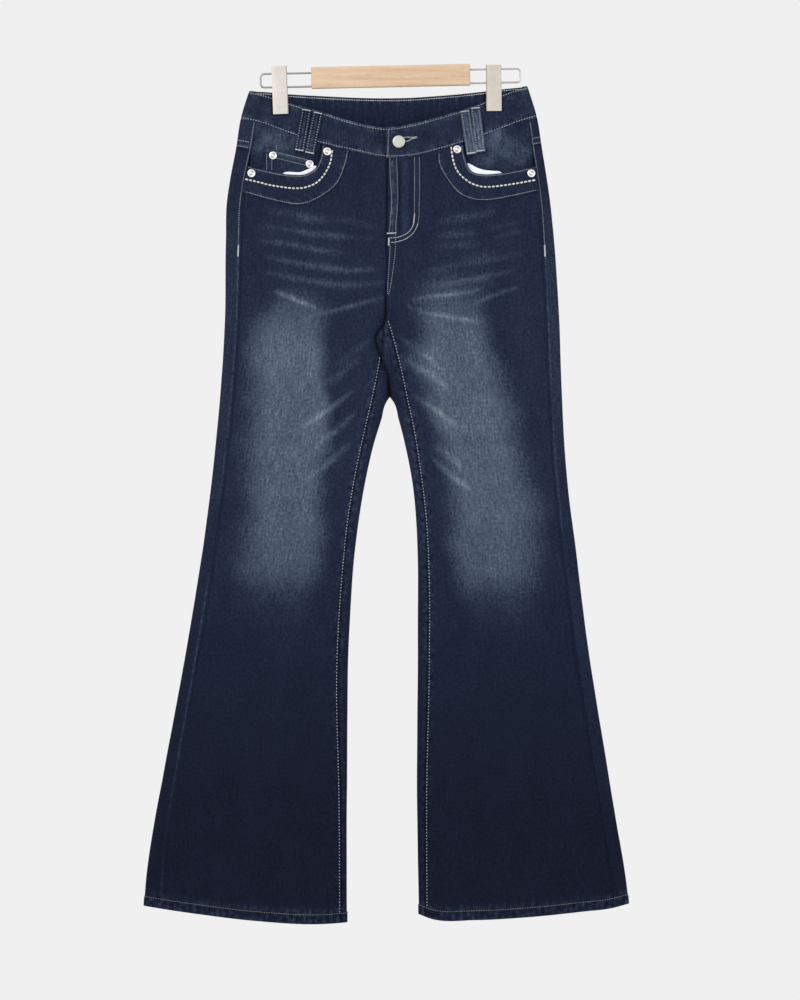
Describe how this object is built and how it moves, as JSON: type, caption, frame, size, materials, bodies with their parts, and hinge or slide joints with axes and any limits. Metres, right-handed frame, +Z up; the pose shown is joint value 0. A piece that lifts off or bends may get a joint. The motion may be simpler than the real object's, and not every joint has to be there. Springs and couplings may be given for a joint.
{
  "type": "bootcut jeans on a clip hanger",
  "caption": "Long bootcut jeans in washed dark denim, hung by the waistband from the two metal clips of a wooden clip hanger, front in view.",
  "frame": {"origin": "middle of the top edge of the hanger's wooden bar, where the hanger is held", "axes": "+Z up, the front of the jeans faces -Y, +X towards the wearer's left"},
  "size_m": [0.6166, 0.0355, 1.0918],
  "materials": {
    "denim": "washed dark blue twill, faded on the thighs",
    "pocket_cotton": "plain white cotton",
    "nickel": "brushed warm nickel",
    "beech": "pale beech, satin lacquer"
  },
  "bodies": {
    "root": {"back_leg_left": "denim", "back_leg_right": "denim", "back_pocket_left": "denim", "back_pocket_right": "denim", "belt_loop_back_left_1": "denim", "belt_loop_back_left_2": "denim", "belt_loop_back_middle_1": "denim", "belt_loop_back_middle_2": "denim", "belt_loop_back_right_1": "denim", "belt_loop_back_right_2": "denim", "belt_loop_front_left_1": "denim", "belt_loop_front_left_2": "denim", "belt_loop_front_right_1": "denim", "belt_loop_front_right_2": "denim", "button": "nickel", "clip_left": "nickel", "clip_right": "nickel", "coin_pocket": "denim", "fly_shield": "denim", "front_leg_left": "denim", "front_leg_right": "denim", "pocket_bag_left": "pocket_cotton", "pocket_bag_right": "pocket_cotton", "pocket_band_left": "denim", "pocket_band_right": "denim", "pocket_facing_left": "denim", "pocket_facing_right": "denim", "rivet_coin_inner": "nickel", "rivet_coin_outer": "nickel", "rivet_left_side": "nickel", "rivet_left_waist": "nickel", "rivet_right_side": "nickel", "rivet_right_waist": "nickel", "waistband_back": "denim", "waistband_front_left": "denim", "waistband_front_right": "denim", "wire_left": "nickel", "wire_right": "nickel", "wood_bar": "beech", "yoke_left": "denim", "yoke_right": "denim"}
  },
  "joints": []
}
